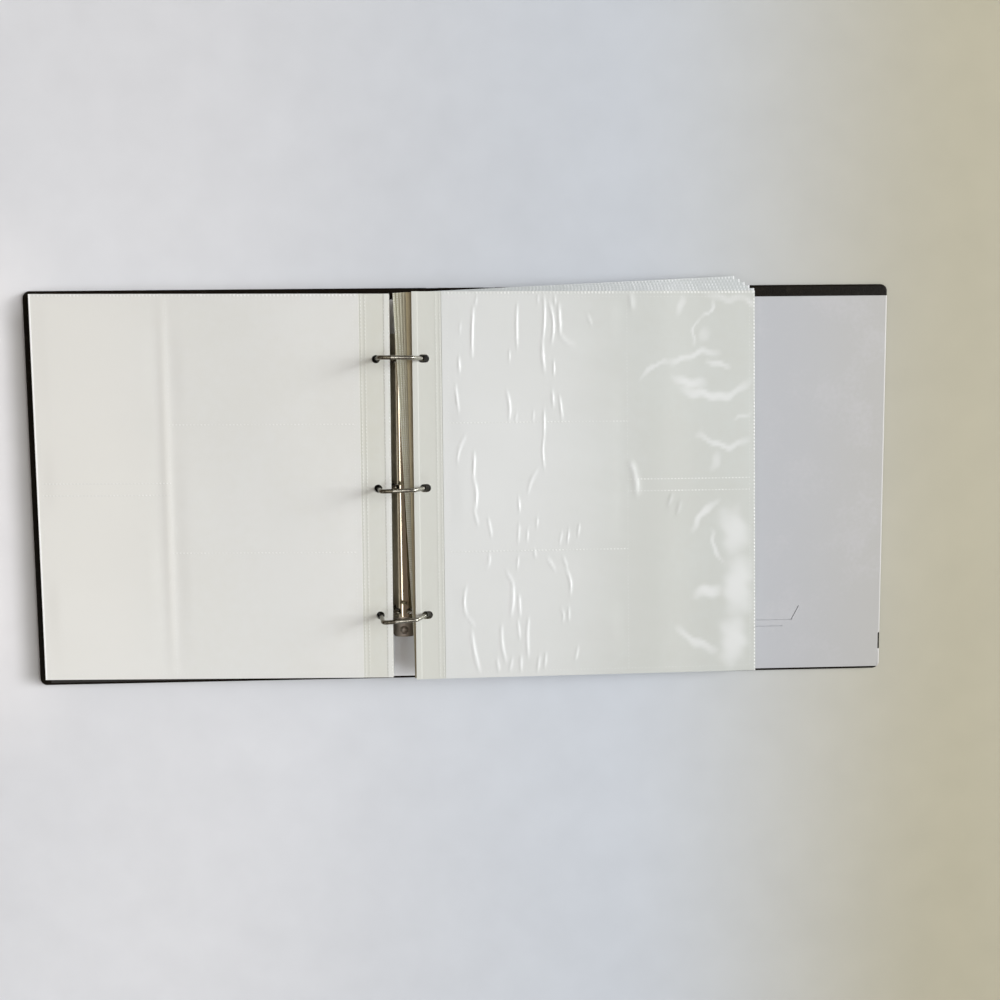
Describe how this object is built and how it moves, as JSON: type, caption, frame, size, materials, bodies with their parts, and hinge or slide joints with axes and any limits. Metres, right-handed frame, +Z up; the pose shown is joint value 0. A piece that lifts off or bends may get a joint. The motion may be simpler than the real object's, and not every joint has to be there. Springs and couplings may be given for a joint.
{
  "type": "photo album",
  "caption": "Ring-bound photo album lying open: black leatherette covers on a folding spine, paper lining, nickel ring metal and white plastic pocket leaves.",
  "frame": {"origin": "middle of the spine, on the surface that the open album lies on", "axes": "+X from the back cover to the front cover, +Y to the head of the page, +Z up"},
  "size_m": [0.7368, 0.3414, 0.0454],
  "materials": {
    "leatherette": "fine-grained black leatherette, satin",
    "grey_board": "raw grey board",
    "lining_paper": "smooth lilac-white lining paper",
    "nickel_plate": "bright nickel-plated sheet steel",
    "nickel_wire": "bright nickel-plated wire",
    "blade_steel": "dull zinc-plated strip",
    "leaf_sheet": "off-white plastic sheet",
    "binding_strip": "off-white plastic strip, ribbed weld",
    "clear_film": "clear glossy pocket film"
  },
  "bodies": {
    "back_cover": {"back_board": "grey_board", "back_skin": "leatherette", "back_lining": "lining_paper", "ring_shell": "nickel_plate", "shell_rivets": "nickel_plate", "left_leaf_1_sheet": "leaf_sheet", "left_leaf_1_strip": "binding_strip", "left_leaf_1_film": "clear_film", "left_leaf_2_sheet": "leaf_sheet", "left_leaf_2_strip": "binding_strip", "left_leaf_2_film": "clear_film", "left_leaf_3_sheet": "leaf_sheet", "left_leaf_3_strip": "binding_strip", "left_leaf_3_film": "clear_film", "left_leaf_4_sheet": "leaf_sheet", "left_leaf_4_strip": "binding_strip", "left_leaf_4_film": "clear_film", "left_leaf_5_sheet": "leaf_sheet", "left_leaf_5_strip": "binding_strip", "left_leaf_5_film": "clear_film"},
    "spine": {"spine_board": "grey_board", "spine_skin": "leatherette", "spine_lining": "lining_paper"},
    "front_cover": {"front_board": "grey_board", "front_skin": "leatherette", "front_lining": "lining_paper"},
    "left_ring_half": {"left_blade": "blade_steel", "left_rings": "nickel_wire"},
    "right_ring_half": {"right_blade": "blade_steel", "right_rings": "nickel_wire"},
    "right_leaf_1": {"right_leaf_1_sheet": "leaf_sheet", "right_leaf_1_strip": "binding_strip", "right_leaf_1_film": "clear_film"},
    "right_leaf_2": {"right_leaf_2_sheet": "leaf_sheet", "right_leaf_2_strip": "binding_strip", "right_leaf_2_film": "clear_film"},
    "right_leaf_3": {"right_leaf_3_sheet": "leaf_sheet", "right_leaf_3_strip": "binding_strip", "right_leaf_3_film": "clear_film"},
    "right_leaf_4": {"right_leaf_4_sheet": "leaf_sheet", "right_leaf_4_strip": "binding_strip", "right_leaf_4_film": "clear_film"},
    "right_leaf_5": {"right_leaf_5_sheet": "leaf_sheet", "right_leaf_5_strip": "binding_strip", "right_leaf_5_film": "clear_film"},
    "right_leaf_6": {"right_leaf_6_sheet": "leaf_sheet", "right_leaf_6_strip": "binding_strip", "right_leaf_6_film": "clear_film"}
  },
  "joints": [
    {"name": "cover_fold", "type": "hinge", "parent": "spine", "child": "front_cover", "pos_m": [0.02436, 0, 0.0009], "axis": [0, -1, 0], "range_deg": [0, 90]},
    {"name": "spine_fold", "type": "hinge", "parent": "back_cover", "child": "spine", "pos_m": [-0.02436, 0, 0.0009], "axis": [0, -1, 0], "range_deg": [0, 90]},
    {"name": "leaf_turn_1", "type": "hinge", "parent": "back_cover", "child": "right_leaf_1", "pos_m": [-0.05236, 0, 0.02415], "axis": [0, -1, 0], "range_deg": [0, 184.76], "deforming": ["right_leaf_1_strip"]},
    {"name": "leaf_turn_2", "type": "hinge", "parent": "back_cover", "child": "right_leaf_2", "pos_m": [-0.05236, 0, 0.02415], "axis": [0, -1, 0], "range_deg": [0, 184.76], "deforming": ["right_leaf_2_strip"]},
    {"name": "leaf_turn_3", "type": "hinge", "parent": "back_cover", "child": "right_leaf_3", "pos_m": [-0.05236, 0, 0.02415], "axis": [0, -1, 0], "range_deg": [0, 184.76], "deforming": ["right_leaf_3_strip"]},
    {"name": "leaf_turn_4", "type": "hinge", "parent": "back_cover", "child": "right_leaf_4", "pos_m": [-0.05236, 0, 0.02415], "axis": [0, -1, 0], "range_deg": [0, 184.76], "deforming": ["right_leaf_4_strip"]},
    {"name": "leaf_turn_5", "type": "hinge", "parent": "back_cover", "child": "right_leaf_5", "pos_m": [-0.05236, 0, 0.02415], "axis": [0, -1, 0], "range_deg": [0, 184.76], "deforming": ["right_leaf_5_strip"]},
    {"name": "leaf_turn_6", "type": "hinge", "parent": "back_cover", "child": "right_leaf_6", "pos_m": [-0.05236, 0, 0.02415], "axis": [0, -1, 0], "range_deg": [0, 184.76], "deforming": ["right_leaf_6_strip"]},
    {"name": "left_ring_open", "type": "hinge", "parent": "back_cover", "child": "left_ring_half", "pos_m": [-0.06076, 0, 0.0063], "axis": [0, -1, 0], "range_deg": [0, 15], "deforming": ["left_leaf_1_strip", "left_leaf_2_strip", "left_leaf_3_strip", "left_leaf_4_strip", "left_leaf_5_strip"]},
    {"name": "right_ring_open", "type": "hinge", "parent": "back_cover", "child": "right_ring_half", "pos_m": [-0.04396, 0, 0.0063], "axis": [0, 1, 0], "range_deg": [0, 15]}
  ],
  "couplings": [
    {"joint": "spine_fold", "follows": "cover_fold", "ratio": 1},
    {"joint": "leaf_turn_1", "follows": "cover_fold", "ratio": 2.0529},
    {"joint": "leaf_turn_2", "follows": "cover_fold", "ratio": 2.0529},
    {"joint": "leaf_turn_3", "follows": "cover_fold", "ratio": 2.0529},
    {"joint": "leaf_turn_4", "follows": "cover_fold", "ratio": 2.0529},
    {"joint": "leaf_turn_5", "follows": "cover_fold", "ratio": 2.0529},
    {"joint": "leaf_turn_6", "follows": "cover_fold", "ratio": 2.0529},
    {"joint": "right_ring_open", "follows": "left_ring_open", "ratio": 1}
  ]
}
